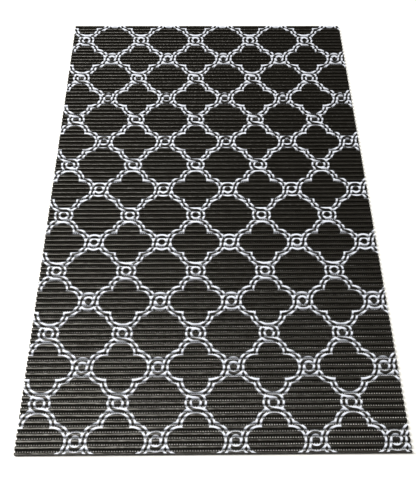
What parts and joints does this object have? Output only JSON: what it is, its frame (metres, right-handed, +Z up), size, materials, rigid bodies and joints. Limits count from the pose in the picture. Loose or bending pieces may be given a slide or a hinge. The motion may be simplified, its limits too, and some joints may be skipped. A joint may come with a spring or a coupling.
{
  "type": "door mat",
  "caption": "Rectangular soft foam door mat with ribs across its width, a yarn net inside, a flat foam underside and a printed trellis of quatrefoils and rings.",
  "frame": {"origin": "middle of the mat's outline, on the floor that its underside rests on", "axes": "+Z up, out of the ribbed and printed face; +Y along the length, away from someone who stands at the near short end; +X across the width, along the ribs, to that person's right"},
  "size_m": [0.45, 0.7398, 0.005],
  "materials": {
    "foam_ribs": "soft foamed PVC, fine pebbled skin, dull sheen, white ink printed on the crests",
    "foam_underside": "soft foamed PVC, dull, slightly tacky",
    "yarn_net": "polyester yarn coated in PVC, low gloss"
  },
  "bodies": {
    "root": {"foam_underside": "foam_underside", "yarn_net": "yarn_net", "foam_ribs_01": "foam_ribs", "foam_ribs_02": "foam_ribs", "foam_ribs_03": "foam_ribs", "foam_ribs_04": "foam_ribs", "foam_ribs_05": "foam_ribs", "foam_ribs_06": "foam_ribs", "foam_ribs_07": "foam_ribs", "foam_ribs_08": "foam_ribs", "foam_ribs_09": "foam_ribs", "foam_ribs_10": "foam_ribs", "foam_ribs_11": "foam_ribs", "foam_ribs_12": "foam_ribs", "foam_ribs_13": "foam_ribs", "foam_ribs_14": "foam_ribs", "foam_ribs_15": "foam_ribs", "foam_ribs_16": "foam_ribs", "foam_ribs_17": "foam_ribs", "foam_ribs_18": "foam_ribs", "foam_ribs_19": "foam_ribs", "foam_ribs_20": "foam_ribs", "foam_ribs_21": "foam_ribs", "foam_ribs_22": "foam_ribs", "foam_ribs_23": "foam_ribs", "foam_ribs_24": "foam_ribs", "foam_ribs_25": "foam_ribs", "foam_ribs_26": "foam_ribs", "foam_ribs_27": "foam_ribs", "foam_ribs_28": "foam_ribs", "foam_ribs_29": "foam_ribs", "foam_ribs_30": "foam_ribs", "foam_ribs_31": "foam_ribs", "foam_ribs_32": "foam_ribs", "foam_ribs_33": "foam_ribs", "foam_ribs_34": "foam_ribs", "foam_ribs_35": "foam_ribs", "foam_ribs_36": "foam_ribs", "foam_ribs_37": "foam_ribs", "foam_ribs_38": "foam_ribs", "foam_ribs_39": "foam_ribs", "foam_ribs_40": "foam_ribs", "foam_ribs_41": "foam_ribs", "foam_ribs_42": "foam_ribs", "foam_ribs_43": "foam_ribs", "foam_ribs_44": "foam_ribs", "foam_ribs_45": "foam_ribs", "foam_ribs_46": "foam_ribs", "foam_ribs_47": "foam_ribs", "foam_ribs_48": "foam_ribs", "foam_ribs_49": "foam_ribs"}
  },
  "joints": []
}
